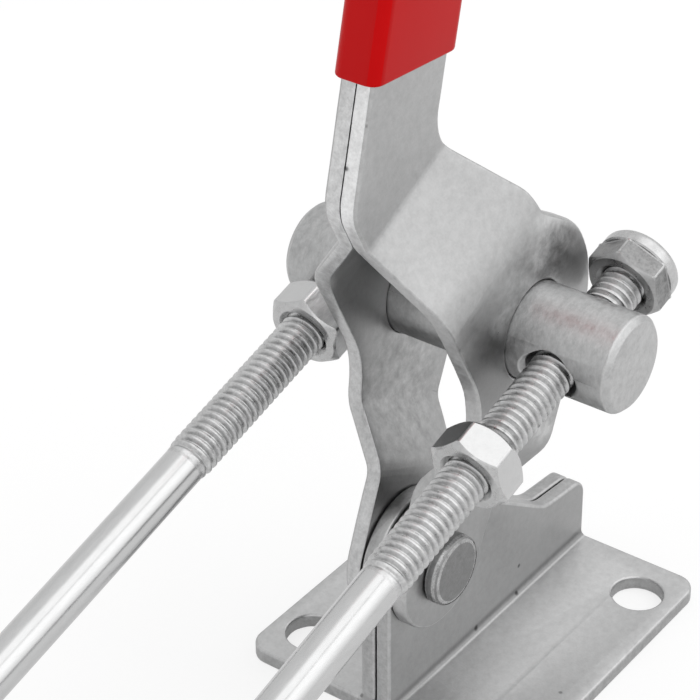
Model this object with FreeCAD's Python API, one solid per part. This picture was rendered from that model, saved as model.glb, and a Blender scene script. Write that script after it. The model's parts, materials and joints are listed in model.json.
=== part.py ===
import FreeCAD, Part
import math
import os

# Adjustable hook latch: pressed plates, a swivel bar and a threaded U-shaped hook. Millimetres.
# +X is the way the hook is pulled when the latch closes, +Y is to the left, +Z is up.
# The origin is the centre of the four fixing holes, on the underside of the base.

# sheet metal
sheet = 3.0             # thickness of all four plates
plate_gap = 0.2         # between the two base plates
side_clearance = 0.15   # between a base plate and the handle's eye beside it
bend_inner = 1.0        # inside radius of the base bend

# base plates
hole_pitch_x = 44.0     # fixing holes, along X
hole_pitch_y = 42.0     # fixing holes, across
hole_end_margin = 9.5   # fixing hole to the end of the base
hole_side_margin = 7.7  # fixing hole to the outer edge of the flange
hole_radius = 4.7
flange_corner = 4.0
pivot_height = 29.0     # pivot axis above the underside
eye_radius = 11.6       # round ends of base plates and handle plates at the pivot
tail_height = 16.0      # top of the upright at its rear end
tail_slope = 6.0        # degrees, top of the tail
tail_corner = 3.5
shoulder_slope = 34.0   # degrees, from the round end down to the tail
shoulder_radius = 9.0

# pivot rivet
rivet_radius = 4.0
rivet_running = 0.06    # eye on rivet, radial
rivet_seat = 0.02       # rivet in the base plates, radial
rivet_head_radius = 6.4
rivet_head_height = 2.6
rivet_head_bevel = 0.5
head_clearance = 0.1    # eye to rivet head

# handle plates from the side: places are back and up from the pivot axis
bar_back = 14.9         # swivel bar's axis
bar_up = 43.0
leg_outside = 13.4      # outer face of a leg beside the bar, from the middle of the latch
neck_seam = 0.1         # between the two plates at the neck
front_lean = 21.8       # degrees from upright, lower front edge
rear_lean = 28.0        # degrees from upright, rear edge at the eye
thigh_lean = 23.4       # degrees from upright, rear edge below the bar
thigh_up = 13.0         # pivot to the corner between them
thigh_radius = 40.0
brow_lean = 27.0        # degrees from upright, front edge above the bar
brow_back = -17.0       # a point on the brow
brow_up = 69.2
hollow_radius = 18.0    # front edge beside the bar
knee_radius = 8.0       # front edge, from brow to neck
lobe_radius = 18.6      # behind the bar
nape_slope = 32.0       # degrees, top of the lobe
nape_reach = 19.2       # bar's axis to the top of the lobe, square to it
nape_back = 16.9        # end of that slope
nape_radius = 2.5
hip_back = 15.4         # rear edge of the flare
hip_up = 68.2
hip_radius = 6.0
throat_up = 81.8        # rear edge, from flare to neck
throat_radius = 9.0
neck_lean = 13.5        # degrees from upright
neck_width = 19.6
neck_back = -8.0        # a point on the middle of the neck
neck_up = 88.0
end_radius = 6.0        # corners of the plates inside the grip
flare_slope = 26.6      # degrees, creases above the bar
flare_top = 69.5        # pivot to crease, square to it
flare_bottom = 49.2
flare_top_bend = 4.0    # bend radii at the middle of the sheet
flare_bottom_bend = 9.0
waist_slope = -27.0     # degrees, creases below the bar
waist_top = 24.5
waist_bottom = 14.2
waist_bend = 6.0

# grip sleeve, along the neck
grip_start = 9.0        # neck point to the lower edge
grip_length = 90.0
grip_cut = 5.0          # degrees, slope of the lower edge
grip_wall = 1.25
grip_corner = 2.3
grip_end_wall = 3.0
grip_end_round = 1.3
plate_end_play = 1.0    # plates' end to the closed end of the sleeve, inside

# swivel bar
bar_radius = 8.5
bar_running = 0.08      # bar in the legs, radial
bar_length = 65.0
bar_chamfer = 1.0
cross_hole_radius = 4.8
cross_hole_bevel = 0.9

# U-shaped hook
rod_pitch = 42.6        # between its two rods
shank_radius = 3.57
thread_radius = 3.95
left_thread_front = 50.8  # end of each thread, in front of the bar's axis
right_thread_front = 56.0
thread_rear = 23.0      # rod's end, behind the bar's axis
thread_runout = 0.8
rod_straight = 118.0    # straight part of the rods, in front of the bar's axis
hook_dip = 15.1         # degrees, down to the front

# nuts
nut_across_flats = 13.0
nut_height = 6.6
nut_bevel = 30.0        # degrees, corners of the hexagon
nut_face_drop = 0.25    # round end face inside the flats
nut_running = 0.05      # nut on thread, radial
nut_mouth = 0.5
left_nut_place = 11.6   # bar's axis to the rear face of the left front nut
right_nut_place = 26.0
left_nut_turn = -7.0    # degrees, how far each nut is turned on its rod
right_nut_turn = 8.0
left_lock_turn = -7.0
right_lock_turn = 3.0
lock_nut_place = 14.6   # bar's axis to the near face of both lock nuts
lock_hex_height = 4.4
lock_collar_height = 3.0
lock_collar_radius = 7.2
lock_collar_round = 1.4
lock_collar_arris = 0.4  # where its round starts
insert_height = 2.0
insert_wall = 1.3

# worked out from the sizes above
base_length = hole_pitch_x + 2 * hole_end_margin
base_half_width = hole_pitch_y / 2 + hole_side_margin
pivot_x = -base_length / 2 + eye_radius
base_face = plate_gap / 2 + sheet
eye_inside = base_face + side_clearance
eye_outside = eye_inside + sheet
neck_face = neck_seam / 2 + sheet
rod_y = rod_pitch / 2
nut_corner = nut_across_flats / 2 / math.cos(math.radians(30))
far = 250.0


def at(x, y, z):
    return FreeCAD.Vector(x, y, z)


def heading(degrees):
    """Unit direction in the side view, from +X towards +Z."""
    return at(math.cos(math.radians(degrees)), 0, math.sin(math.radians(degrees)))


def from_pivot(back, up):
    return at(pivot_x + back, 0, pivot_height + up)


pivot = from_pivot(0, 0)
bar_axis = from_pivot(bar_back, bar_up)
neck_point = from_pivot(neck_back, neck_up)
neck_along = heading(90 - neck_lean)
neck_square = heading(-neck_lean)
hook_place = FreeCAD.Placement(bar_axis, FreeCAD.Rotation(at(0, 1, 0), 180 - hook_dip))


def meet(a, along_a, b, along_b):
    """Where two lines of the side view cross."""
    gap = b - a
    cross = along_a.x * along_b.z - along_a.z * along_b.x
    return a + along_a * ((gap.x * along_b.z - gap.z * along_b.x) / cross)


def beside(centre, radius, degrees):
    """Point of a circle in the side view, in the given direction from its centre."""
    return centre + heading(degrees) * radius


def rounded(corners):
    """Closed outline through (point, radius) corners."""
    turns = []
    for i, (here, radius) in enumerate(corners):
        before = (corners[i - 1][0] - here).normalize()
        after = (corners[(i + 1) % len(corners)][0] - here).normalize()
        half = before.getAngle(after) / 2
        run = radius / math.tan(half)
        inward = (before + after).normalize()
        middle = here + inward * (radius / math.sin(half) - radius)
        turns.append((here + before * run, middle, here + after * run))
    edges = []
    for i, (start, middle, end) in enumerate(turns):
        if (start - end).Length > 1e-6:
            edges.append(Part.Arc(start, middle, end).toShape())
        onward = turns[(i + 1) % len(turns)][0]
        if (onward - end).Length > 1e-6:
            edges.append(Part.LineSegment(end, onward).toShape())
    return Part.Wire(edges)


def bent_sheet(points, bends, along, length):
    """Sheet bent along its middle line, carried on both ways in the direction of its creases."""
    runs = [(b - a).normalize() for a, b in zip(points, points[1:])]
    sides = {}
    for side in (1, -1):
        normals = [along.cross(run) * side for run in runs]
        corners = [(points[0] + normals[0] * (sheet / 2), 0)]
        for i, bend in enumerate(bends):
            both = normals[i] + normals[i + 1]
            mitre = both * (sheet / (both.Length ** 2))
            outer = (runs[i + 1] - runs[i]).dot(normals[i]) < 0
            radius = bend + sheet / 2 if outer else bend - sheet / 2
            corners.append((points[i + 1] + mitre, radius))
        corners.append((points[-1] + normals[-1] * (sheet / 2), 0))
        sides[side] = corners
    outline = rounded(sides[1] + sides[-1][::-1])
    outline.translate(along * (-length / 2))
    return Part.Face(outline).extrude(along * length)


def across(outline):
    """Solid of a side view outline, right across the latch."""
    outline.translate(at(0, -far / 2, 0))
    return Part.Face(outline).extrude(at(0, far, 0))


def cross_pin(centre, radius, half_length):
    start = centre - at(0, half_length, 0)
    return Part.makeCylinder(radius, 2 * half_length, start, at(0, 1, 0))


def turned(profile):
    """Body of revolution about X from (along, radius) points."""
    points = [at(along, 0, radius) for along, radius in profile]
    face = Part.Face(Part.makePolygon(points + points[:1]))
    return face.revolve(at(0, 0, 0), at(1, 0, 0), 360)


def mirrored(shape):
    return shape.mirror(at(0, 0, 0), at(0, 1, 0))


def base_outline():
    """Side view of a base plate: round end, shoulder and low tail."""
    front = -base_length / 2
    rear = base_length / 2
    top = pivot_height + eye_radius
    falling = heading(-shoulder_slope)
    shoulder = beside(pivot, eye_radius, 90 - shoulder_slope)
    crown = meet(shoulder, falling, at(0, 0, top), at(1, 0, 0))
    tail_top = at(rear, 0, tail_height)
    knee = meet(shoulder, falling, tail_top, heading(-tail_slope))
    return rounded([(at(front, 0, 0), 0), (at(front, 0, top), eye_radius), (crown, eye_radius),
                    (knee, shoulder_radius), (tail_top, tail_corner), (at(rear, 0, 0), 0)])


def base_plan():
    """Plan of a base plate, its flange corners rounded."""
    half = base_length / 2
    corners = [(at(-half, 0, 0), 0), (at(half, 0, 0), 0)]
    corners += [(at(half, base_half_width, 0), flange_corner), (at(-half, base_half_width, 0), flange_corner)]
    return Part.Face(rounded(corners)).extrude(at(0, 0, far))


def base_plate():
    upright = base_face - sheet / 2
    bend = bend_inner + sheet / 2
    section = [at(0, upright, far / 2), at(0, upright, sheet / 2), at(0, far / 2, sheet / 2)]
    plate = bent_sheet(section, [bend], at(1, 0, 0), far)
    plate = plate.common(across(base_outline())).common(base_plan())
    plate = plate.cut(cross_pin(pivot, rivet_radius + rivet_seat, far / 2))
    for x in (-hole_pitch_x / 2, hole_pitch_x / 2):
        plate = plate.cut(Part.makeCylinder(hole_radius, far, at(x, hole_pitch_y / 2, -far / 2)))
    return plate


def handle_outline():
    """Side view of a handle plate: eye, leg with its lobe behind the bar, flare and neck."""
    low = at(0, 0, pivot_height - eye_radius)
    front = beside(pivot, eye_radius, 180 - front_lean)
    front_up = heading(90 - front_lean)
    rear = beside(pivot, eye_radius, -rear_lean)
    rear_up = heading(90 - rear_lean)
    level = at(1, 0, 0)
    thigh = meet(rear, rear_up, from_pivot(0, thigh_up), level)
    thigh_way = heading(90 - thigh_lean)
    lobe_top = beside(bar_axis, nape_reach, 90 - nape_slope)
    falling = heading(-nape_slope)
    nape = meet(lobe_top, falling, from_pivot(nape_back, 0), at(0, 0, 1))
    brow = from_pivot(brow_back, brow_up)
    brow_up_way = heading(90 + brow_lean)
    neck_rear = neck_point + neck_square * (neck_width / 2)
    neck_front = neck_point - neck_square * (neck_width / 2)
    throat = meet(neck_rear, neck_along, from_pivot(0, throat_up), level)
    plate_end = grip_start + grip_length - grip_end_wall - plate_end_play
    return rounded([
        (meet(front, front_up, low, level), eye_radius),
        (meet(rear, rear_up, low, level), eye_radius),
        (thigh, thigh_radius),
        (meet(thigh, thigh_way, lobe_top, falling), lobe_radius),
        (nape, nape_radius),
        (from_pivot(hip_back, hip_up), hip_radius),
        (throat, throat_radius),
        (neck_rear + neck_along * plate_end, end_radius),
        (neck_front + neck_along * plate_end, end_radius),
        (meet(neck_front, neck_along, brow, brow_up_way), knee_radius),
        (meet(brow, brow_up_way, front, front_up), hollow_radius),
    ])


def joggle(slope, levels, bends):
    """Sheet with parallel creases: levels are (distance from the pivot square to them, side place)."""
    up = heading(90 + slope)
    points = [pivot + up * distance + at(0, side, 0) for distance, side in levels]
    return bent_sheet(points, bends, heading(slope), 2 * far)


def handle_plate():
    leg = leg_outside - sheet / 2
    neck = neck_face - sheet / 2
    eye = eye_outside - sheet / 2
    flare = joggle(flare_slope, [(far, neck), (flare_top, neck), (flare_bottom, leg), (-far, leg)],
                   [flare_top_bend, flare_bottom_bend])
    waist = joggle(waist_slope, [(far, leg), (waist_top, leg), (waist_bottom, eye), (-far, eye)],
                   [waist_bend, waist_bend])
    above = Part.makeBox(2 * far, far, far, bar_axis - at(far, 0, 0))
    below = Part.makeBox(2 * far, far, far, bar_axis - at(far, 0, far))
    plate = flare.common(above).fuse(waist.common(below)).removeSplitter()
    plate = plate.common(across(handle_outline()))
    plate = plate.cut(cross_pin(pivot, rivet_radius + rivet_running, far / 2))
    return plate.cut(cross_pin(bar_axis, bar_radius + bar_running, far / 2))


def pivot_rivet():
    inner = eye_outside + head_clearance
    outer = inner + rivet_head_height
    face = rivet_head_radius - rivet_head_bevel
    half = [(0, rivet_radius), (inner, rivet_radius), (inner, rivet_head_radius),
            (outer - rivet_head_bevel, rivet_head_radius), (outer, face)]
    profile = [(-along, radius) for along, radius in half[:0:-1]] + half[1:]
    rivet = turned([(-outer, 0)] + profile + [(outer, 0)])
    rivet.rotate(at(0, 0, 0), at(0, 0, 1), 90)
    rivet.translate(pivot)
    return rivet


def sleeve_prism(half_width, half_thickness, radius, start, end):
    foot = neck_point + neck_along * start
    wide = neck_square * half_width
    thick = at(0, half_thickness, 0)
    corners = [(foot - wide - thick, radius), (foot + wide - thick, radius),
               (foot + wide + thick, radius), (foot - wide + thick, radius)]
    return Part.Face(rounded(corners)).extrude(neck_along * (end - start))


def grip_sleeve():
    """Closed soft sleeve pushed over the neck plates."""
    half_width = neck_width / 2 + grip_wall
    half_thickness = neck_face + grip_wall
    end = grip_start + grip_length
    sleeve = sleeve_prism(half_width, half_thickness, grip_corner, 0, end)
    tip = neck_point + neck_along * end
    rim = [edge for edge in sleeve.Edges if abs((edge.CenterOfMass - tip).dot(neck_along)) < 1e-3]
    sleeve = sleeve.makeFillet(grip_end_round, rim)
    foot = neck_point + neck_along * grip_start
    tilt = FreeCAD.Placement(foot, FreeCAD.Rotation(at(0, 1, 0), grip_cut))
    under = Part.makeBox(2 * far, 2 * far, far, at(-far, -far, -far))
    under.Placement = tilt.multiply(under.Placement)
    sleeve = sleeve.cut(under)
    plate_end = end - grip_end_wall
    room = sleeve_prism(neck_width / 2, neck_face, 0, -grip_start, plate_end)
    return sleeve.cut(room)


def swivel_bar():
    half = bar_length / 2
    face = bar_radius - bar_chamfer
    bar = turned([(-half, 0), (-half, face), (bar_chamfer - half, bar_radius),
                  (half - bar_chamfer, bar_radius), (half, face), (half, 0)])
    bar.rotate(at(0, 0, 0), at(0, 0, 1), 90)
    mouth = cross_hole_radius + cross_hole_bevel
    deep = bar_radius - cross_hole_bevel
    tool = turned([(-far, 0), (-far, mouth), (-bar_radius, mouth), (-deep, cross_hole_radius),
                   (deep, cross_hole_radius), (bar_radius, mouth), (far, mouth), (far, 0)])
    tool.rotate(at(0, 0, 0), at(0, 1, 0), -hook_dip)
    for side in (1, -1):
        hole = tool.copy()
        hole.translate(at(0, side * rod_y, 0))
        bar = bar.cut(hole)
    bar.translate(bar_axis)
    return bar


def rod_leg(side, thread_front):
    """Straight leg of the hook: thread, its runout and the plain shank."""
    root = thread_radius - thread_runout
    leg = turned([(-thread_rear, 0), (-thread_rear, root), (thread_runout - thread_rear, thread_radius),
                  (thread_front, thread_radius), (thread_front + thread_runout, shank_radius),
                  (rod_straight, shank_radius), (rod_straight, 0)])
    leg.translate(at(0, side * rod_y, 0))
    return leg


def u_bolt():
    """Hook made from one rod: two threaded legs and a round crown."""
    rod = Part.Wire(Part.makeCircle(shank_radius, at(rod_straight, rod_y, 0), at(1, 0, 0)))
    crown = Part.Face(rod).revolve(at(rod_straight, 0, 0), at(0, 0, -1), 180)
    left = rod_leg(1, left_thread_front)
    right = rod_leg(-1, right_thread_front)
    hook = left.fuse([crown, right]).removeSplitter()
    hook.Placement = hook_place.multiply(hook.Placement)
    return hook


def hexagon(start, height):
    turns = [math.radians(60 * i) for i in range(6)]
    points = [at(start, nut_corner * math.sin(turn), nut_corner * math.cos(turn)) for turn in turns]
    return Part.Face(Part.makePolygon(points + points[:1])).extrude(at(height, 0, 0))


def nut_bore(start, end):
    bore = thread_radius + nut_running
    mouth = bore + nut_mouth
    return turned([(start, 0), (start, mouth), (start + nut_mouth, bore), (end - nut_mouth, bore),
                   (end, mouth), (end, 0)])


def bevels(start, end, both):
    """Body of revolution that takes the corners off a hexagon's ends."""
    flat = nut_across_flats / 2 - nut_face_drop
    corner = nut_corner + nut_mouth
    fall = (corner - flat) * math.tan(math.radians(nut_bevel))
    finish = [(end - fall, corner), (end, flat)] if both else [(end, corner)]
    return turned([(start, 0), (start, flat), (start + fall, corner)] + finish + [(end, 0)])


def placed(nut, along, side, turn):
    nut.rotate(at(0, 0, 0), at(1, 0, 0), turn)
    nut.translate(at(along, side * rod_y, 0))
    nut.Placement = hook_place.multiply(nut.Placement)
    return nut


def front_nut():
    nut = hexagon(0, nut_height).common(bevels(0, nut_height, True))
    return nut.cut(nut_bore(0, nut_height))


def insert_seat():
    end = lock_hex_height + lock_collar_height - lock_collar_round / 2
    return end - insert_height, end


def lock_nut():
    """Hexagon with a round collar that holds a soft ring."""
    end = lock_hex_height + lock_collar_height
    bore = thread_radius + nut_running
    lip = lock_collar_radius - lock_collar_round
    brim = lock_collar_radius - lock_collar_arris
    nut = hexagon(0, lock_hex_height).common(bevels(0, lock_hex_height, False))
    collar = turned([(lock_hex_height, 0), (lock_hex_height, lock_collar_radius),
                     (end - lock_collar_round, lock_collar_radius), (end - lock_collar_arris, brim),
                     (end, lip), (end, 0)])
    nut = nut.fuse(collar).removeSplitter()
    nut = nut.cut(turned([(0, 0), (0, bore + nut_mouth), (nut_mouth, bore), (end, bore), (end, 0)]))
    near, deep = insert_seat()
    return nut.cut(turned([(near, 0), (near, bore + insert_wall), (deep, bore + insert_wall), (deep, 0)]))


def lock_insert():
    near, deep = insert_seat()
    bore = thread_radius + nut_running
    ring = Part.makeCylinder(bore + insert_wall, deep - near, at(near, 0, 0), at(1, 0, 0))
    return ring.cut(Part.makeCylinder(bore, deep, at(0, 0, 0), at(1, 0, 0)))


def faced_back(nut):
    """Turns a lock nut so that its collar is away from the bar."""
    nut.rotate(at(0, 0, 0), at(0, 0, 1), 180)
    return nut


def all_parts():
    base = base_plate()
    handle = handle_plate()
    parts = {"base_plate_left": base, "base_plate_right": mirrored(base), "pivot_rivet": pivot_rivet(),
             "handle_plate_left": handle, "handle_plate_right": mirrored(handle),
             "grip_sleeve": grip_sleeve(), "swivel_bar": swivel_bar(), "u_bolt": u_bolt()}
    rods = [("left", 1, left_nut_place, left_nut_turn, left_lock_turn),
            ("right", -1, right_nut_place, right_nut_turn, right_lock_turn)]
    for name, side, place, turn, lock_turn in rods:
        parts["front_nut_" + name] = placed(front_nut(), place, side, turn)
        parts["lock_nut_" + name] = placed(faced_back(lock_nut()), -lock_nut_place, side, lock_turn)
        parts["lock_insert_" + name] = placed(faced_back(lock_insert()), -lock_nut_place, side, lock_turn)
    return parts


os.makedirs("parts", exist_ok=True)
for name, shape in all_parts().items():
    shape.exportStep("parts/" + name + ".step")
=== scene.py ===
import json
import math

import bmesh
import bpy
from mathutils import Matrix, Vector, noise as scatter


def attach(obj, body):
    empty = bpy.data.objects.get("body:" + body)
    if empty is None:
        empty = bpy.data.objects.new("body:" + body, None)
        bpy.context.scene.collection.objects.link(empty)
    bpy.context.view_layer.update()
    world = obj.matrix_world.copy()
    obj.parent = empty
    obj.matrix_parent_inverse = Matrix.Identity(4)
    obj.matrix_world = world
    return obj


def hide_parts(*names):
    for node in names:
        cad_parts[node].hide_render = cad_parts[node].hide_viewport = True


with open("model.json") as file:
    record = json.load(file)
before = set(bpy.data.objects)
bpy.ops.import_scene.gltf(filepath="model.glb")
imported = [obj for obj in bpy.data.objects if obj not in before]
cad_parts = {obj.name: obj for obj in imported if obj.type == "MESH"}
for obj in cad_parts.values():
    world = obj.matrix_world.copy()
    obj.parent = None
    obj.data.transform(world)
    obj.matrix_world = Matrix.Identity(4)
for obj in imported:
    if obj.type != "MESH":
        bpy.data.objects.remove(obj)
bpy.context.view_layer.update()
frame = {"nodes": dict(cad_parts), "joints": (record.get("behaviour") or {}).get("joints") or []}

mm = 0.001  # lengths are in metres, angles in degrees where a dictionary holds them
joints = {joint["name"]: joint for joint in frame["joints"]}

# the hook's own frame: x runs forward along the rods, y to the left, from the swivel bar's axis
barAxis = Vector(joints["bar_swivel"]["pos_m"])
forward = Vector(joints["hook_slide"]["axis"]).normalized()
leftward = Vector((0, 1, 0))
hookFrame = Matrix((forward, leftward, forward.cross(leftward))).transposed().to_4x4()
hookFrame.translation = barAxis
rodOut = joints["front_nut_left_turn"]["pos_m"][1]
pivot = Vector(joints["handle_pivot"]["pos_m"])


class Wire:
    # one socket of a node tree; operators on it add Math nodes
    def __init__(self, tree, socket=None):
        self.tree = tree
        self.socket = socket

    def add(self, kind, settings=None, inputs=None, out=0):
        # any node: settings first, then what its sockets hold or are linked to
        made = self.tree.nodes.new(kind)
        for key, value in (settings or {}).items():
            if key == "items":
                while len(made.index_switch_items) < value:
                    made.index_switch_items.new()
            else:
                setattr(made, key, value)
        for key, value in (inputs or {}).items():
            if isinstance(value, Wire):
                self.tree.links.new(value.socket, made.inputs[key])
            else:
                made.inputs[key].default_value = value
        return Wire(self.tree, made.outputs[out]) if len(made.outputs) else None

    def parts(self, *numbers):
        # the x, y or z of a vector, by number
        return [self.add("ShaderNodeSeparateXYZ", None, {0: self}, number) for number in numbers]

    def math(self, operation, *others):
        return self.add("ShaderNodeMath", {"operation": operation}, dict(enumerate((self,) + others)))

    def after(self, operation, first):
        return self.add("ShaderNodeMath", {"operation": operation}, {0: first, 1: self})

    def distance(self, spot):
        return self.add("ShaderNodeVectorMath", {"operation": "DISTANCE"}, {0: self, 1: spot}, 1)

    def __add__(self, other):
        return self.math("ADD", other)

    def __radd__(self, other):
        return self.after("ADD", other)

    def __sub__(self, other):
        return self.math("SUBTRACT", other)

    def __rsub__(self, other):
        return self.after("SUBTRACT", other)

    def __mul__(self, other):
        return self.math("MULTIPLY", other)

    def __rmul__(self, other):
        return self.after("MULTIPLY", other)

    def __truediv__(self, other):
        return self.math("DIVIDE", other)

    def __rtruediv__(self, other):
        return self.after("DIVIDE", other)

    def most(self, other):
        return self.math("MINIMUM", other)

    def least(self, other):
        return self.math("MAXIMUM", other)

    def between(self, low, high):
        # 0 below low, 1 above high
        return self.add("ShaderNodeMapRange", {"clamp": True},
                        {"Value": self, "From Min": low, "From Max": high})

    def eased(self, low, high):
        # the same with soft ends
        return self.add("ShaderNodeMapRange", {"interpolation_type": "SMOOTHSTEP"},
                        {"Value": self, "From Min": low, "From Max": high})

    def band(self, rise, top, fall, end):
        # 1 from top to fall, 0 outside rise and end
        return self.eased(rise, top) * (1.0 - self.eased(fall, end))

    def tint(self, colour):
        # a colour made lighter or darker by this number
        return self.add("ShaderNodeMix", {"data_type": "RGBA", "blend_type": "MULTIPLY"},
                        {0: 1.0, 6: colour, 7: self}, 2)


# finishes

def newMaterial(name):
    material = bpy.data.materials.new(name)
    material.use_nodes = True
    tree = material.node_tree
    tree.nodes.clear()
    return material, Wire(tree)


def finishWith(start, constants, varying):
    # the surface shader: constants on its own sockets, what changes over the surface linked
    shader = start.tree.nodes.new("ShaderNodeBsdfPrincipled")
    for key, value in constants.items():
        shader.inputs[key].default_value = value
    for key, value in varying.items():
        start.tree.links.new(value.socket, shader.inputs[key])
    start.add("ShaderNodeOutputMaterial", None, {"Surface": Wire(start.tree, shader.outputs[0])})


def noise(place, scale, detail=3.0, rough=0.5, distort=0.0):
    return place.add("ShaderNodeTexNoise", {"noise_dimensions": "3D"},
                     {"Vector": place, "Scale": scale, "Detail": detail, "Roughness": rough,
                      "Distortion": distort})


zinc = {"colour": (0.47, 0.471, 0.472, 1.0), "barColour": (0.4685, 0.471, 0.472, 1.0), "cloud": 60.0,
        "mottle": 760.0, "grain": 2600.0, "grainShare": 0.4, "cloudRough": 0.35, "mottleRough": 0.6,
        "relief": 0.05 * mm, "speckSpacing": 9.0 * mm, "speckSize": 0.055, "speckPick": (0.72, 0.74),
        "crease": 330.0, "creasePick": (0.4, 0.64), "creaseDark": 0.55, "creaseLight": 0.45,
        "creaseRelief": 2.5, "creaseGloss": 0.1, "coarse": 420.0, "coarseShare": 1.3, "nickDark": 0.75,
        "core": 0.25}


def specks(place):
    # small round marks in some cells of their spacing
    cells = {"Vector": place, "Scale": 1.0 / zinc["speckSpacing"]}
    away = place.add("ShaderNodeTexVoronoi", {"feature": "F1"}, cells)
    pick = place.add("ShaderNodeTexVoronoi", {"feature": "F1"}, cells, 1)
    chosen = place.add("ShaderNodeSeparateColor", None, {0: pick}).between(*zinc["speckPick"])
    return (1.0 - away.between(zinc["speckSize"] * 0.5, zinc["speckSize"])) * chosen


def near(place, spot, radius):
    # 1 at a spot given in mm, falling softly to 0 at the radius
    away = place.distance(tuple(value * mm for value in spot))
    return 1.0 - away.eased(zinc["core"] * radius * mm, radius * mm)


def paintedLightAndShadeByHeight(place, steps):
    # painted light and shade, as a number that changes with height: the lowest, then each step's height, half
    # width (in mm) and number
    share = steps[0]
    z = place.parts(2)[0]
    before = steps[0]
    for height, half, after in steps[1:]:
        share = z.eased((height - half) * mm, (height + half) * mm) * (after - before) + share
        before = after
    return share


def zincMaterial(name, level, roughness, clouds, mottling, bump, streak=(1.0, 1.0, 1.0), marks=0.0,
                 worn=(), nicks=(), steps=(), paintedShadeSpots=(), coarse=(), colour=zinc["colour"]):
    # thin zinc plating: soft clouds, fine mottling and grain, the marks of use where the part has them, and
    # painted light and shade by height and round given spots
    material, start = newMaterial(name)
    place = start.add("ShaderNodeTexCoord", None, None, 3)
    along = place.add("ShaderNodeMapping", None, {"Vector": place, "Scale": streak})
    cloud = noise(along, zinc["cloud"], 4.0)
    mottle = noise(along, zinc["mottle"], 3.0, 0.6)
    grain = noise(along, zinc["grain"], 2.0, 0.5)
    shade = level * (1.0 + clouds * (cloud - 0.5) + mottling * (mottle - 0.5)
                     + zinc["grainShare"] * mottling * (grain - 0.5))
    height = 0.5 * mottle + 0.5 * grain
    uneven = roughness + zinc["cloudRough"] * clouds * (cloud - 0.5)
    uneven = uneven + zinc["mottleRough"] * mottling * (mottle - 0.5)
    if worn:
        rub = near(place, *worn[0])
        for spot, radius in worn[1:]:
            rub = rub.least(near(place, spot, radius))
        crease = noise(place, zinc["crease"], 5.0, 0.62, 0.7)
        dark = zinc["creaseDark"] * crease.between(*zinc["creasePick"]) - zinc["creaseLight"]
        shade = shade * (1.0 - rub * dark)
        height = height + rub * zinc["creaseRelief"] * crease
        uneven = uneven - zinc["creaseGloss"] * rub
    if marks:
        shade = shade * (1.0 - marks * specks(place))
    # steps paint light and shade by height
    if steps:
        shade = shade * paintedLightAndShadeByHeight(place, steps)
    # painted shade round given spots, and painted light where the amount is negative
    for spot, radius, strength in paintedShadeSpots:
        shade = shade * (1.0 - strength * near(place, spot, radius))
    for spot, radius in coarse:
        lumps = noise(place, zinc["coarse"], 5.0, 0.7) - 0.5
        shade = shade * (1.0 + zinc["coarseShare"] * near(place, spot, radius) * lumps)
    for spot, radius in nicks:
        shade = shade * (1.0 - zinc["nickDark"] * near(place, spot, radius))
    relief = start.add("ShaderNodeBump", None,
                       {"Strength": bump, "Distance": zinc["relief"], "Height": height})
    finishWith(start, {"Metallic": 1.0},
               {"Base Color": shade.tint(colour), "Roughness": uneven, "Normal": relief})
    return material


vinylLook = {"green": 0.006, "blue": 0.007, "wave": 45.0, "fine": 900.0, "fineShare": 0.05, "bump": 0.15,
             "relief": 0.2 * mm, "rough": 0.26, "coatRough": 0.12, "ior": 1.5, "shine": 2.5}


def vinylMaterial(name, gloss, red):
    # soft glossy vinyl, a little uneven from dipping
    material, start = newMaterial(name)
    place = start.add("ShaderNodeTexCoord", None, None, 3)
    wave = noise(place, vinylLook["wave"], 2.0)
    fine = noise(place, vinylLook["fine"], 2.0)
    colour = (0.9 + 0.2 * wave).tint((red, vinylLook["green"], vinylLook["blue"], 1.0))
    relief = start.add("ShaderNodeBump", None,
                       {"Strength": vinylLook["bump"], "Distance": vinylLook["relief"],
                        "Height": wave + vinylLook["fineShare"] * fine})
    finishWith(start, {"Coat Weight": gloss, "Coat Roughness": vinylLook["coatRough"],
                       "IOR": vinylLook["ior"], "Specular IOR Level": vinylLook["shine"] * gloss},
               {"Base Color": colour, "Roughness": vinylLook["rough"] + 0.1 * wave, "Normal": relief})
    return material


def nylonMaterial():
    material, start = newMaterial("nylonRing")
    place = start.add("ShaderNodeTexCoord", None, None, 3)
    soft = noise(place, 800.0, 2.0)
    finishWith(start, {}, {"Base Color": (0.9 + 0.2 * soft).tint((0.72, 0.72, 0.68, 1.0)),
                           "Roughness": 0.45 + 0.1 * soft})
    return material


# places in mm on the part, each with its radius and, for painted shade, how much; a negative amount paints
# light instead
wornPlaces = [((1.0, -13.4, 84.5), 9.0), ((-15.0, -12.5, 77.5), 5.0), ((-12.3, -13.4, 71.0), 4.0),
              ((-0.5, -13.4, 50.3), 5.0)]
nickPlaces = [((-37.3, -3.0, 120.5), 0.6), ((-40.9, -3.0, 107.1), 0.7), ((-38.7, -0.3, 113.2), 0.6),
              ((9.2, -3.1, 9.2), 0.6), ((8.4, -3.1, 3.4), 0.7), ((-4.7, -3.1, 3.9), 0.8)]
# painted shade on the handle beside the bar and on the left leg, and painted light on the lobe
paintedShadePlaces = [((-15.5, -13.4, 71.0), 17.0, 0.42), ((-22.5, 8.5, 82.0), 16.0, 0.36),
               ((-2.5, -13.4, 88.5), 7.0, -0.45)]
coarsePlaces = [((-11.0, 10.4, 55.0), 22.0), ((-6.0, -13.4, 80.0), 16.0)]
rubbedEdge = [((-29.0, -6.0, 37.0), 10.0)]
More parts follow.
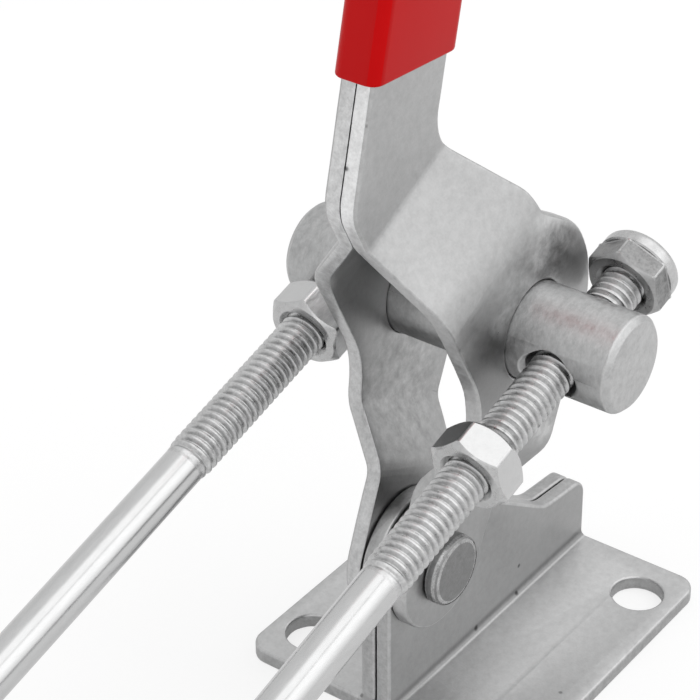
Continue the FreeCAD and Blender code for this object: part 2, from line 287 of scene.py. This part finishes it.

# each finish: level, roughness, clouds, mottling, bump
# the handle sheet takes painted shade lower on the legs and round the spots above, and painted light on the
# lobe
sheetZinc = zincMaterial("zincSheet", 1.0, 0.42, 0.24, 0.38, 0.7, marks=0.5, worn=wornPlaces,
                         nicks=nickPlaces, steps=(0.86, (58.0, 18.0, 1.0)), paintedShadeSpots=paintedShadePlaces,
                         coarse=coarsePlaces)
# painted light on the flange, painted shade in the bend and on the uprights
baseZinc = zincMaterial("zincBase", 1.0, 0.42, 0.22, 0.35, 0.7, marks=0.5, nicks=nickPlaces,
                        steps=(1.16, (3.06, 0.1, 0.58), (4.6, 0.6, 0.82)))
baseCutZinc = zincMaterial("zincBaseEdge", 0.92, 0.42, 0.2, 0.8, 1.0, nicks=nickPlaces)
# cut edges with painted highlight, brighter on the right plate, and painted shade below the neck
leftCutHighlightZinc = zincMaterial("zincLeftEdge", 1.45, 0.4, 0.2, 0.8, 1.0, nicks=nickPlaces,
                           steps=(0.87, (90.0, 5.0, 1.0)))
rightCutHighlightZinc = zincMaterial("zincRightEdge", 1.78, 0.38, 0.2, 0.6, 1.0, nicks=nickPlaces, worn=rubbedEdge,
                            steps=(0.6, (100.0, 5.0, 1.0)))
foldZinc = zincMaterial("zincRounded", 1.05, 0.36, 0.2, 0.6, 1.0, nicks=nickPlaces)
barZinc = zincMaterial("zincBar", 1.02, 0.42, 0.3, 0.65, 0.9, streak=(0.9, 1.5, 0.9), marks=0.5,
                       colour=zinc["barColour"])
barEndZinc = zincMaterial("zincBarEnd", 1.12, 0.4, 0.3, 0.6, 0.8)
# painted shade inside the bar's cross holes
holeShadeZinc = zincMaterial("zincHole", 0.22, 0.5, 0.2, 0.5, 0.8)
# the rivet's face darker: painted shade; its rounded rim lighter and glossier: painted highlight
rivetShadeZinc = zincMaterial("zincRivet", 0.56, 0.45, 0.2, 0.8, 1.0)
rimHighlightZinc = zincMaterial("zincRivetRimPaintedHighlight", 0.95, 0.26, 0.4, 1.4, 1.2)
rodZinc = zincMaterial("zincRod", 1.28, 0.2, 0.08, 0.14, 0.2, streak=(0.25, 1.0, 1.0))
threadZinc = zincMaterial("zincThread", 1.22, 0.35, 0.2, 0.9, 0.9)
nutZinc = zincMaterial("zincNut", 1.15, 0.3, 0.2, 0.5, 0.8, marks=0.4)
lockZinc = zincMaterial("zincLockNut", 0.78, 0.32, 0.2, 0.6, 0.8)
facetZinc = zincMaterial("zincNutFacet", 1.28, 0.24, 0.1, 0.15, 0.3)
# scratch streaks, and painted highlight on the left front nut's flats that face -y
scratchedHighlightZinc = zincMaterial("zincScratchedFacetPaintedHighlight", 1.75, 0.36, 0.2, 0.6, 1.2, streak=(0.5, 2.0, 0.5))
dullZinc = zincMaterial("zincLockFacet", 0.64, 0.5, 0.3, 1.5, 1.6)
# bright lines of painted highlight along the lock nuts' corners
arrisHighlightZinc = zincMaterial("zincArris", 1.05, 0.3, 0.3, 0.8, 0.8)
vinyl = vinylMaterial("redVinyl", 0.028, 0.51)
# brighter red with less shine on one corner of the grip: painted light
cornerLitVinyl = vinylMaterial("redVinylCorner", 0.004, 0.57)
nylon = nylonMaterial()
print("finishes made")


# shaping

def linked(name, data):
    thing = bpy.data.objects.new(name, data)
    bpy.context.scene.collection.objects.link(thing)
    return thing


def plainMesh(thing, name, place=None):
    # the evaluated shape as a mesh of its own, its modifiers gone and its place in its points
    bpy.context.view_layer.update()
    seen = thing.evaluated_get(bpy.context.evaluated_depsgraph_get())
    mesh = bpy.data.meshes.new_from_object(seen)
    bpy.data.objects.remove(thing)
    if place:
        mesh.transform(place)
    mesh.name = name
    return mesh


def tidyMesh(mesh, weld, closed=False):
    work = bmesh.new()
    work.from_mesh(mesh)
    bmesh.ops.remove_doubles(work, verts=work.verts, dist=weld)
    bmesh.ops.dissolve_degenerate(work, edges=work.edges, dist=weld)
    if closed:
        bmesh.ops.holes_fill(work, edges=[edge for edge in work.edges if edge.is_boundary], sides=0)
    bmesh.ops.recalc_face_normals(work, faces=work.faces)
    work.to_mesh(mesh)
    work.free()


def newPiece(name, mesh, body, node, sharp):
    piece = linked(name, mesh)
    mesh.shade_smooth()
    mesh.set_sharp_from_angle(angle=math.radians(sharp))
    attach(piece, body)
    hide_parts(node)


solidLook = {"weld": 0.004 * mm, "flat": 0.4, "steps": 3}


def openSolid(node, materials):
    # a copy of a node's solid, its triangles joined to whole faces, with these materials
    mesh = frame["nodes"][node].data.copy()
    mesh.materials.clear()
    for material in materials:
        mesh.materials.append(material)
    work = bmesh.new()
    work.from_mesh(mesh)
    bmesh.ops.remove_doubles(work, verts=work.verts, dist=solidLook["weld"])
    bmesh.ops.dissolve_limit(work, angle_limit=math.radians(solidLook["flat"]), verts=work.verts,
                             edges=work.edges)
    work.normal_update()
    return mesh, work


def roundedMesh(node, mesh, work, width, rim, angle=None):
    # its edges rounded, by their weights or from an angle on; rim is the number of their material
    work.to_mesh(mesh)
    work.free()
    holder = linked(node + "Holder", mesh)
    edges = holder.modifiers.new("edges", "BEVEL")
    edges.width = width
    edges.segments = solidLook["steps"]
    edges.limit_method = "ANGLE" if angle else "WEIGHT"
    if angle:
        edges.angle_limit = math.radians(angle)
    edges.use_clamp_overlap = False
    edges.material = rim
    return plainMesh(holder, node + "Dressed")


def sizesTree(name, sizes):
    # a geometry tree with one named input for each size
    tree = bpy.data.node_groups.new(name, "GeometryNodeTree")
    tree.interface.new_socket("Geometry", in_out="OUTPUT", socket_type="NodeSocketGeometry")
    for size, value in sizes.items():
        kind = "NodeSocketInt" if isinstance(value, int) else "NodeSocketFloat"
        tree.interface.new_socket(size, in_out="INPUT", socket_type=kind).default_value = value
    entry = tree.nodes.new("NodeGroupInput")
    start = Wire(tree)
    return tree, start, {size: Wire(tree, entry.outputs[size]) for size in sizes}


def unitPlace(start):
    # u along a flat grid of unit size and v across it, both from 0 to 1
    return [part + 0.5 for part in start.add("GeometryNodeInputPosition").parts(0, 1)]


def byRow(v, numbers):
    # the number that stands at this row of the grid
    row = (v * (len(numbers) - 1)).math("ROUND")
    return row.add("GeometryNodeIndexSwitch", {"data_type": "FLOAT", "items": len(numbers)},
                   {0: row, **{i + 1: number for i, number in enumerate(numbers)}})


def rollUp(start, columns, rows, along, radius, angle, material):
    # a flat grid set round the x axis and welded to a closed shape
    sheet = start.add("GeometryNodeMeshGrid", None,
                      {"Size X": 1.0, "Size Y": 1.0, "Vertices X": columns, "Vertices Y": rows})
    place = start.add("ShaderNodeCombineXYZ", None,
                      {0: along, 1: radius * angle.math("COSINE"), 2: radius * angle.math("SINE")})
    wound = start.add("GeometryNodeSetPosition", None, {"Geometry": sheet, "Position": place})
    welded = start.add("GeometryNodeMergeByDistance", None, {"Geometry": wound, "Distance": 0.002 * mm})
    real = start.add("GeometryNodeRealizeInstances", None, {0: welded})
    dressed = start.add("GeometryNodeSetMaterial", None, {"Geometry": real, "Material": material})
    start.add("NodeGroupOutput", None, {0: dressed})


def grown(tree, name, sizes, place=None):
    # a tree's shape for these sizes, as a plain mesh
    holder = linked(name, bpy.data.meshes.new(name))
    modifier = holder.modifiers.new("shape", "NODES")
    modifier.node_group = tree
    for item in tree.interface.items_tree:
        if item.in_out == "INPUT" and item.name in sizes:
            modifier[item.identifier] = sizes[item.name]
    return plainMesh(holder, name, place)


# pressed plates: the frame's own solids, their edges rounded and finished as cut or rolled

plateLook = {"round": 0.5 * mm, "inner": 0.45, "angle": 32.0, "cell": 3.0 * mm, "uneven": 0.05 * mm,
             "waver": 300.0, "paintedLightSeam": 0.6 * mm, "up": (-12.0 * mm, 170.0 * mm),
             "along": (0.4 * mm, 60.0 * mm), "sharp": 28.0, "square": 0.25}
baseLook = {"bendTop": 4.2 * mm, "bendIn": 5.0 * mm, "bendOut": 7.0 * mm, "bendFrom": 2.95 * mm,
            "bendTo": 5.5 * mm, "endOn": 0.9}
joggle = {"slope": 26.6, "top": 69.5 * mm, "low": 49.2 * mm, "topSoft": 1.0 * mm, "lowSoft": 2.2 * mm,
          "newSoft": 3.4 * mm, "rear": 49.7 * mm, "rearAt": 43.0 * mm, "front": 54.9 * mm,
          "frontAt": 15.8 * mm, "past": -0.2, "neck": 1.55 * mm, "leg": 11.9 * mm, "cell": 1.2 * mm,
          "up": (44.4 * mm, 72.0 * mm)}
joggleTurn = math.radians(joggle["slope"])
joggleAlong = Vector((math.cos(joggleTurn), 0, math.sin(joggleTurn)))
joggleUp = Vector((-joggleAlong.z, 0, joggleAlong.x))


def ramp(x, soft):
    # 0 below, x above, with a soft start
    if x <= -soft:
        return 0.0
    return x if x >= soft else (x + soft) ** 2 / (4 * soft)


def sheetPlace(up, low, soft):
    # how far the middle of a handle plate lies from the middle of the latch
    fall = (joggle["neck"] - joggle["leg"]) / (joggle["top"] - low)
    return joggle["leg"] + fall * (ramp(up - low, soft) - ramp(up - joggle["top"], joggle["topSoft"]))


def twistJoggle(work, side):
    # the lower crease of the pressed joggle isn't parallel to the upper one, so the sheet is bent there
    for vert in work.verts:
        up = (vert.co - pivot).dot(joggleUp)
        along = (vert.co - pivot).dot(joggleAlong)
        share = (along - joggle["frontAt"]) / (joggle["rearAt"] - joggle["frontAt"])
        share = min(max(share, joggle["past"]), 1.0)
        low = joggle["front"] + share * (joggle["rear"] - joggle["front"])
        shift = sheetPlace(up, low, joggle["newSoft"]) - sheetPlace(up, joggle["low"], joggle["lowSoft"])
        vert.co.y += side * shift


def cutInSteps(work, normal, cell, span):
    # cuts the faces at even steps from the pivot, so that they can bend
    first, last = span
    for i in range(int((last - first) / cell) + 1):
        geometry = work.verts[:] + work.edges[:] + work.faces[:]
        bmesh.ops.bisect_plane(work, geom=geometry, dist=1e-6, plane_co=pivot + normal * (first + i * cell),
                               plane_no=normal)


def edgeWeights(work, side, isHandle):
    # how far each sharp edge is rounded: less on the inner side of a handle plate
    weight = work.edges.layers.float.new("bevel_weight_edge")
    for edge in work.edges:
        if len(edge.link_faces) == 2 and edge.calc_face_angle(0) > math.radians(plateLook["angle"]):
            inner = isHandle and any(face.normal.y * side < -0.6 for face in edge.link_faces)
            edge[weight] = plateLook["inner"] if inner else 1.0


def unevenEdges(work):
    # the rounded edges waver a little, as tumbled sheet does, and only inwards
    work.normal_update()
    moved = {vert for face in work.faces if face.material_index == 2 for vert in face.verts}
    shifts = {vert: vert.normal * plateLook["uneven"] * (scatter.noise(vert.co * plateLook["waver"]) - 1)
              for vert in moved}
    for vert, shift in shifts.items():
        vert.co += shift


def cutOnHandle(face):
    # cut faces stand square to the sheet
    return abs(face.normal.y) < plateLook["square"]


def cutOnBase(face):
    middle = face.calc_center_median()
    if abs(face.normal.x) > baseLook["endOn"]:
        return True
    if middle.z > baseLook["bendTop"]:
        return abs(face.normal.y) < plateLook["square"]
    return abs(face.normal.z) < plateLook["square"] and abs(middle.y) > baseLook["bendIn"]


def dressedPlate(node, body, side, materials):
    # three materials: the faces as rolled, the cut ones and the rounded edges between them
    isHandle = body == "handle"
    isCut = cutOnHandle if isHandle else cutOnBase
    mesh, work = openSolid(node, materials)
    edgeWeights(work, side, isHandle)
    for face in work.faces:
        face.material_index = 1 if isCut(face) else 0
    made = roundedMesh(node, mesh, work, plateLook["round"], 2)
    work = bmesh.new()
    work.from_mesh(made)
    if isHandle:
        cutInSteps(work, joggleUp, plateLook["cell"], plateLook["up"])
        cutInSteps(work, joggleUp, joggle["cell"], joggle["up"])
        cutInSteps(work, joggleAlong, plateLook["cell"], plateLook["along"])
        twistJoggle(work, side)
    unevenEdges(work)
    for face in work.faces:
        middle = face.calc_center_median()
        # rounded faces in the base's bend take the base finish, and with it the painted shade of the bend
        inPaintedShadeBend = abs(middle.y) < baseLook["bendOut"] and baseLook["bendFrom"] < middle.z < baseLook["bendTo"]
        # rounded edges by the seam between the two handle plates take the brighter cut finish: painted light
        # in the groove
        if face.material_index == 2 and isHandle and abs(middle.y) < plateLook["paintedLightSeam"]:
            face.material_index = 1
        elif face.material_index == 2 and not isHandle and inPaintedShadeBend:
            face.material_index = 0
    work.to_mesh(made)
    work.free()
    newPiece(node + "Dressed", made, body, node, plateLook["sharp"])


for name, side, cut in (("left", 1, leftCutHighlightZinc), ("right", -1, rightCutHighlightZinc)):
    dressedPlate("base_plate_" + name, "base", side, (baseZinc, baseCutZinc, foldZinc))
    dressedPlate("handle_plate_" + name, "handle", side, (sheetZinc, cut, foldZinc))
print("plates dressed")


# turned pieces: the solids with their edges broken

turnedLook = {"rivet": 0.55 * mm, "bar": 0.22 * mm, "hole": 4.75 * mm, "angle": 28.0, "sharp": 30.0}


def barFinish(face):
    # the bar's cross holes get painted shade inside, and its ends are turned smooth
    place = hookFrame.inverted() @ face.calc_center_median()
    inHole = math.hypot(abs(place.y) - rodOut, place.z) < turnedLook["hole"]
    if inHole and abs(face.normal.dot(forward)) < 0.9:
        return 2
    return 1 if abs(face.normal.y) > 0.9 else 0


def dressedSolid(node, body, materials, width, angle, rim=1, special=None, corner=None):
    # special numbers the faces' materials before the rounding
    # corner picks the faces that take the second one after it
    mesh, work = openSolid(node, materials)
    for face in work.faces:
        face.material_index = special(face) if special else 0
    made = roundedMesh(node, mesh, work, width, rim, angle)
    for face in made.polygons:
        if corner and corner(face):
            face.material_index = 1
    newPiece(node + "Dressed", made, body, node, turnedLook["sharp"])


dressedSolid("pivot_rivet", "base", (rivetShadeZinc, rimHighlightZinc), turnedLook["rivet"],
             turnedLook["angle"])
dressedSolid("swivel_bar", "bar", (barZinc, barEndZinc, holeShadeZinc), turnedLook["bar"],
             turnedLook["angle"], special=barFinish)
print("turned pieces dressed")


# threaded hook

hook = {"crest": 3.95 * mm, "root": 3.22 * mm, "shank": 3.567 * mm, "pitch": 1.411 * mm,
        "rear": -23.0 * mm, "threadEnds": {1: 51.6 * mm, -1: 56.8 * mm}, "straight": 118.0 * mm,
        "facets": 48, "bendSteps": 48, "tip": 3.0 * mm, "runout": (0.1, 2.2), "weld": 0.004 * mm,
        "sharp": 38.0,
        "flank": [(0.0, 0.0), (0.08, 0.04), (0.17, 0.3), (0.28, 0.76), (0.38, 0.97), (0.5, 1.0),
                  (0.62, 0.97), (0.72, 0.76), (0.83, 0.3), (0.92, 0.04), (1.0, 0.0)]}


def threadTree():
    # a ridge wound round the rod: the grid runs along the helix, its rows across one pitch
    sizes = {"Length": hook["straight"], "Pitch": hook["pitch"], "Crest": hook["crest"],
             "Root": hook["root"], "Shank": hook["shank"], "Tip": hook["tip"], "Facets": hook["facets"]}
    tree, start, size = sizesTree("rolledThread", sizes)
    turns = (size["Length"] / size["Pitch"]).math("CEIL") + 1.0
    u, v = unitPlace(start)
    turn = u * turns
    across = byRow(v, [place for place, high in hook["flank"]])
    height = byRow(v, [high for place, high in hook["flank"]])
    along = ((turn - 1.0 + across) * size["Pitch"]).least(0.0).most(size["Length"])
    radius = size["Root"] + height * (size["Crest"] - size["Root"])
    runout = ((size["Length"] - along) / size["Pitch"]).eased(*hook["runout"])
    radius = size["Shank"] + runout * (radius - size["Shank"])
    radius = radius.most(size["Tip"] + along)
    columns = turns * size["Facets"] + 1.0
    rollUp(start, columns, len(hook["flank"]), along, radius, turn * (2 * math.pi), threadZinc)
    return tree


def rodRings():
    # centre and direction of each ring of the plain rod, from one thread to the other
    straight = hook["straight"]
    rings = [(Vector((x, rodOut, 0)), 0.0) for x in (hook["threadEnds"][1], straight * 0.75, straight)]
    for i in range(1, hook["bendSteps"]):
        turn = math.pi * i / hook["bendSteps"]
        rings.append((Vector((straight + rodOut * math.sin(turn), rodOut * math.cos(turn), 0)), turn))
    rings += [(Vector((x, -rodOut, 0)), math.pi) for x in (straight * 0.75, hook["threadEnds"][-1])]
    return rings


def plainRod(work):
    # its faces take the mesh's second material, and the thread keeps the first
    rows = []
    for centre, turn in rodRings():
        outward = Vector((math.sin(turn), math.cos(turn), 0))
        row = []
        for k in range(hook["facets"]):
            angle = 2 * math.pi * k / hook["facets"]
            reach = math.cos(angle) * outward + Vector((0, 0, math.sin(angle)))
            row.append(work.verts.new(centre + hook["shank"] * reach))
        rows.append(row)
    for first, second in zip(rows, rows[1:]):
        for k in range(hook["facets"]):
            after = (k + 1) % hook["facets"]
            work.faces.new((first[k], first[after], second[after], second[k])).material_index = 1


def buildHook():
    tree = threadTree()
    work = bmesh.new()
    for side, end in hook["threadEnds"].items():
        spot = Matrix.Translation((hook["rear"], side * rodOut, 0))
        work.from_mesh(grown(tree, "thread", {"Length": end - hook["rear"]}, spot))
    for face in work.faces:
        face.material_index = 0
    plainRod(work)
    mesh = bpy.data.meshes.new("hookRod")
    mesh.materials.append(threadZinc)
    mesh.materials.append(rodZinc)
    work.to_mesh(mesh)
    work.free()
    tidyMesh(mesh, hook["weld"], True)
    mesh.transform(hookFrame)
    newPiece("hookRod", mesh, "hook", "u_bolt", hook["sharp"])
    print("hook made:", len(mesh.polygons), "faces")


buildHook()


# nuts: a grid of rings, each ring's radius and height given by rule

nut = {"flats": 13.0 * mm, "height": 6.6 * mm, "bore": 3.98 * mm, "mouth": 0.85 * mm, "face": 6.12 * mm,
       "bevel": 37.0, "corner": 7.36 * mm, "soft": 0.24 * mm, "around": 240, "weld": 0.002 * mm,
       "edge": 0.3 * mm, "sharp": 24.0, "turns": {"left": -7.0, "right": 8.0}}
lockNut = {"height": 4.4 * mm, "collar": 3.0 * mm, "collarRadius": 7.2 * mm, "round": 1.4 * mm,
           "roundSteps": (0, 22, 45, 68, 90), "lip": 5.4 * mm, "recess": 0.75 * mm,
           "arrisFrom": 0.15 * mm, "arrisHalf": 0.12 * mm, "turns": {"left": -7.0, "right": 3.0}}
sides = {"left": 1, "right": -1}


def nutTree(name, locking):
    sizes = {"Flats": nut["flats"], "Height": nut["height"], "Bore": nut["bore"], "Mouth": nut["mouth"],
             "Face": nut["face"], "Corner": nut["corner"], "Soft": nut["soft"],
             "Bevel": math.radians(nut["bevel"]), "Turn": 0.0, "Start": 0.0, "Way": 1.0,
             "Around": nut["around"]}
    if locking:
        sizes.update({"Collar": lockNut["collar"], "Collar Radius": lockNut["collarRadius"],
                      "Collar Round": lockNut["round"], "Lip": lockNut["lip"],
                      "Recess": lockNut["recess"]})
    tree, start, size = sizesTree(name, sizes)
    u, v = unitPlace(start)
    offFlat = (u * 360.0 + 30.0).math("MODULO", 60.0) - 30.0
    offFlat = offFlat * math.radians(1)
    reach = (size["Flats"] * 0.5 / offFlat.math("COSINE")).most(size["Corner"])
    slope = size["Bevel"].math("TANGENT")
    drop = (reach - size["Face"]).least(0.0) * slope
    soft = size["Soft"]
    top = size["Height"]
    mouth = [(size["Bore"], size["Mouth"]), (size["Bore"] + size["Mouth"], 0.0 * soft),
             (size["Face"] - soft, 0.0 * soft), (size["Face"] + soft * 0.6, soft * 0.3),
             (reach - soft * 0.7, drop - soft * 0.35), (reach, drop + soft * 0.8)]
    if locking:
        end = top + size["Collar"]
        edge = size["Collar Round"]
        brim = size["Collar Radius"]
        inside = size["Lip"] - soft
        rings = mouth + [(reach, top - soft), (reach + soft * 0.5, top)]
        rings += [(brim - soft, top), (brim, top + soft)]
        for turn in lockNut["roundSteps"]:
            back = 1 - math.cos(math.radians(turn))
            down = 1 - math.sin(math.radians(turn))
            rings.append((brim - edge * back, end - edge * down))
        rings += [(size["Lip"], end), (inside, end - soft), (inside, end - size["Recess"]),
                  (size["Bore"], end - size["Recess"]), mouth[0]]
    else:
        rings = mouth + [(radius, top - height) for radius, height in mouth[::-1]] + [mouth[0]]
    radii = byRow(v, [radius for radius, height in rings])
    heights = byRow(v, [height for radius, height in rings])
    along = size["Start"] + size["Way"] * heights
    angle = u * (2 * math.pi) + size["Turn"]
    rollUp(start, size["Around"] + 1.0, len(rings), along, radii, angle, nutZinc)
    return tree


def finishNut(mesh, turn, sizes, plain, side):
    # the six flats and the edges round them have their own finishes; the lock nut's corners take painted
    # highlight
    mesh.materials.clear()
    first, flat = (nutZinc, facetZinc) if plain else (lockZinc, dullZinc)
    for material in (first, flat, arrisHighlightZinc, nutZinc, scratchedHighlightZinc):
        mesh.materials.append(material)
    top = sizes["Height"] - (nut["edge"] if plain else 0.0)
    for face in mesh.polygons:
        place = face.center
        height = (place.x - sizes["Start"]) * sizes["Way"]
        out = math.hypot(place.y, place.z)
        around = (math.degrees(math.atan2(place.z, place.y) - turn) + 30.0) % 60.0 - 30.0
        onFlat = abs(out * math.cos(math.radians(around)) - nut["flats"] / 2) < 0.02 * mm
        onCorner = abs(out - nut["corner"]) < lockNut["arrisHalf"]
        if onFlat and abs(face.normal.x) < 0.2 and nut["edge"] < height < top:
            # the left front nut's flats that face -y take painted highlight
            face.material_index = 4 if plain and side > 0 and face.normal.y < 0 else 1
        elif not plain and onCorner and lockNut["arrisFrom"] < height < sizes["Height"]:
            face.material_index = 2
        elif not plain and height > sizes["Height"]:
            face.material_index = 3


def buildNuts():
    kinds = (("front_nut_", nutTree("hexNut", False), nut, 0.0, 1.0),
             ("lock_nut_", nutTree("lockNut", True), lockNut, lockNut["collar"], -1.0))
    for side, out in sides.items():
        slide = Matrix.Translation((0, out * rodOut, 0))
        for kind, tree, look, collar, way in kinds:
            middle = Vector(joints[kind + side + "_turn"]["pos_m"]) - barAxis
            turn = math.radians(look["turns"][side])
            start = middle.dot(forward) - way * (look["height"] + collar) / 2
            sizes = {"Height": look["height"], "Turn": turn, "Way": way, "Start": start}
            mesh = grown(tree, kind + side + "Shaped", sizes)
            tidyMesh(mesh, nut["weld"])
            finishNut(mesh, turn, sizes, look is nut, out)
            mesh.transform(hookFrame @ slide)
            newPiece(kind + side + "Shaped", mesh, kind + side, kind + side, nut["sharp"])


buildNuts()
for side in sides:
    ring = frame["nodes"]["lock_insert_" + side]
    ring.data.materials.clear()
    ring.data.materials.append(nylon)
print("nuts made")


# grip sleeve: rounded tube over the neck, its end closed

gripLook = {"round": 0.45 * mm, "angle": 35.0}


def gripLitCorner(face):
    # the sleeve's long corner that points forward and to the right shines less and is a brighter red: painted
    # light
    return -0.94 < face.normal.y < -0.3 and face.normal.x < -0.2 and face.normal.z < 0.5


dressedSolid("grip_sleeve", "handle", (vinyl, cornerLitVinyl), gripLook["round"],
             gripLook["angle"], rim=0, corner=gripLitCorner)
print("grip made")


# studio

studio = {"floor": (0.93, 0.93, 0.93, 1.0), "floorHalf": 6.0, "level": 0.8, "mirrored": 0.8,
          "seenFloor": 1.05, "seenShare": 0.72, "mirroredFloor": 0.85, "mirroredShare": 0.3, "panel": 0.75,
          "above": (-16.0, 0.0, 24.0, 27.0), "right": (28.0, 32.0, 46.0, 96.0),
          "ends": (-0.85, -0.55, 0.7, 0.95), "rise": 0.12, "risen": (-70.0, -10.0), "aim": (-0.03, 0.0, 0.06)}
lamps = {"key": {"place": (0.35, -0.45, 0.95), "size": 0.9, "power": 3.0},
         "fill": {"place": (-0.9, 0.5, 0.5), "size": 0.8, "power": 0.6}}
white = (1, 1, 1, 1)


def rayKinds(start):
    # 1 for what the camera sees, and 1 for what metal mirrors
    seen, glossy, through = (start.add("ShaderNodeLightPath", None, None, "Is " + kind + " Ray")
                             for kind in ("Camera", "Glossy", "Transmission"))
    return seen, (glossy + through).most(1.0)


def buildFloor():
    mesh = bpy.data.meshes.new("floor")
    half = studio["floorHalf"]
    mesh.from_pydata([(-half, -half, 0), (half, -half, 0), (half, half, 0), (-half, half, 0)], [],
                     [(0, 1, 2, 3)])
    linked("floor", mesh)
    material, start = newMaterial("paleFloor")
    matt = start.add("ShaderNodeBsdfDiffuse", None, {"Color": studio["floor"]})
    seen, mirrored = rayKinds(start)
    strength = studio["seenFloor"] * seen + mirrored * studio["mirroredFloor"]
    shining = start.add("ShaderNodeEmission", None, {"Color": white, "Strength": strength})
    share = studio["seenShare"] * seen + studio["mirroredShare"] * mirrored
    both = start.add("ShaderNodeMixShader", None, {0: share, 1: matt, 2: shining})
    start.add("ShaderNodeOutputMaterial", None, {"Surface": both})
    mesh.materials.append(material)


def panels(start):
    # two soft panels that metal mirrors, one overhead and one to the right, with a narrow gap between them
    x, y, z = start.add("ShaderNodeTexCoord", None, None, 0).parts(0, 1, 2)
    tilt = (0.0 - y).math("ARCTAN2", z) * math.degrees(1)
    above = tilt.band(*studio["above"])
    right = tilt.band(*studio["right"])
    glow = studio["rise"] * tilt.eased(*studio["risen"]) * (1.0 - above)
    return studio["panel"] * (above + right) * x.band(*studio["ends"]) + glow


def buildWorld():
    world = bpy.data.worlds.new("studio")
    world.use_nodes = True
    world.node_tree.nodes.clear()
    start = Wire(world.node_tree)
    seen, mirrored = rayKinds(start)
    lit = start.add("ShaderNodeBackground", None, {"Color": white, "Strength": studio["level"]})
    strength = seen + mirrored * (studio["mirrored"] + panels(start))
    bright = start.add("ShaderNodeBackground", None, {"Color": white, "Strength": strength})
    both = start.add("ShaderNodeMixShader", None, {0: seen + mirrored, 1: lit, 2: bright})
    start.add("ShaderNodeOutputWorld", None, {"Surface": both})
    bpy.context.scene.world = world


def addLamp(name, look):
    light = bpy.data.lights.new(name, "AREA")
    light.shape = "SQUARE"
    light.size = look["size"]
    light.energy = look["power"]
    lamp = linked(name, light)
    lamp.location = look["place"]
    toLamp = Vector(look["place"]) - Vector(studio["aim"])
    lamp.rotation_euler = toLamp.to_track_quat("Z", "Y").to_euler()
    lamp.visible_glossy = False  # the world's panels stand for the lamps in metal


view = {"place": (-0.3071, -0.2012, 0.2995), "azimuth": -54.219, "elevation": 31.446, "focal": 2556.97,
        "frame": 700.0, "centreX": 387.085, "centreY": 274.974, "sensor": 36.0}


def addCamera():
    data = bpy.data.cameras.new("view")
    data.sensor_width = view["sensor"]
    data.lens = view["focal"] / view["frame"] * view["sensor"]
    data.shift_x = (view["frame"] / 2 - view["centreX"]) / view["frame"]
    data.shift_y = (view["centreY"] - view["frame"] / 2) / view["frame"]
    data.clip_start = 0.01
    camera = linked("view", data)
    camera.location = view["place"]
    camera.rotation_euler = (math.radians(90.0 - view["elevation"]), 0.0, math.radians(view["azimuth"]))
    bpy.context.scene.camera = camera


buildFloor()
buildWorld()
for name, look in lamps.items():
    addLamp(name, look)
addCamera()
bpy.context.scene.view_settings.view_transform = "Standard"
print("studio ready")
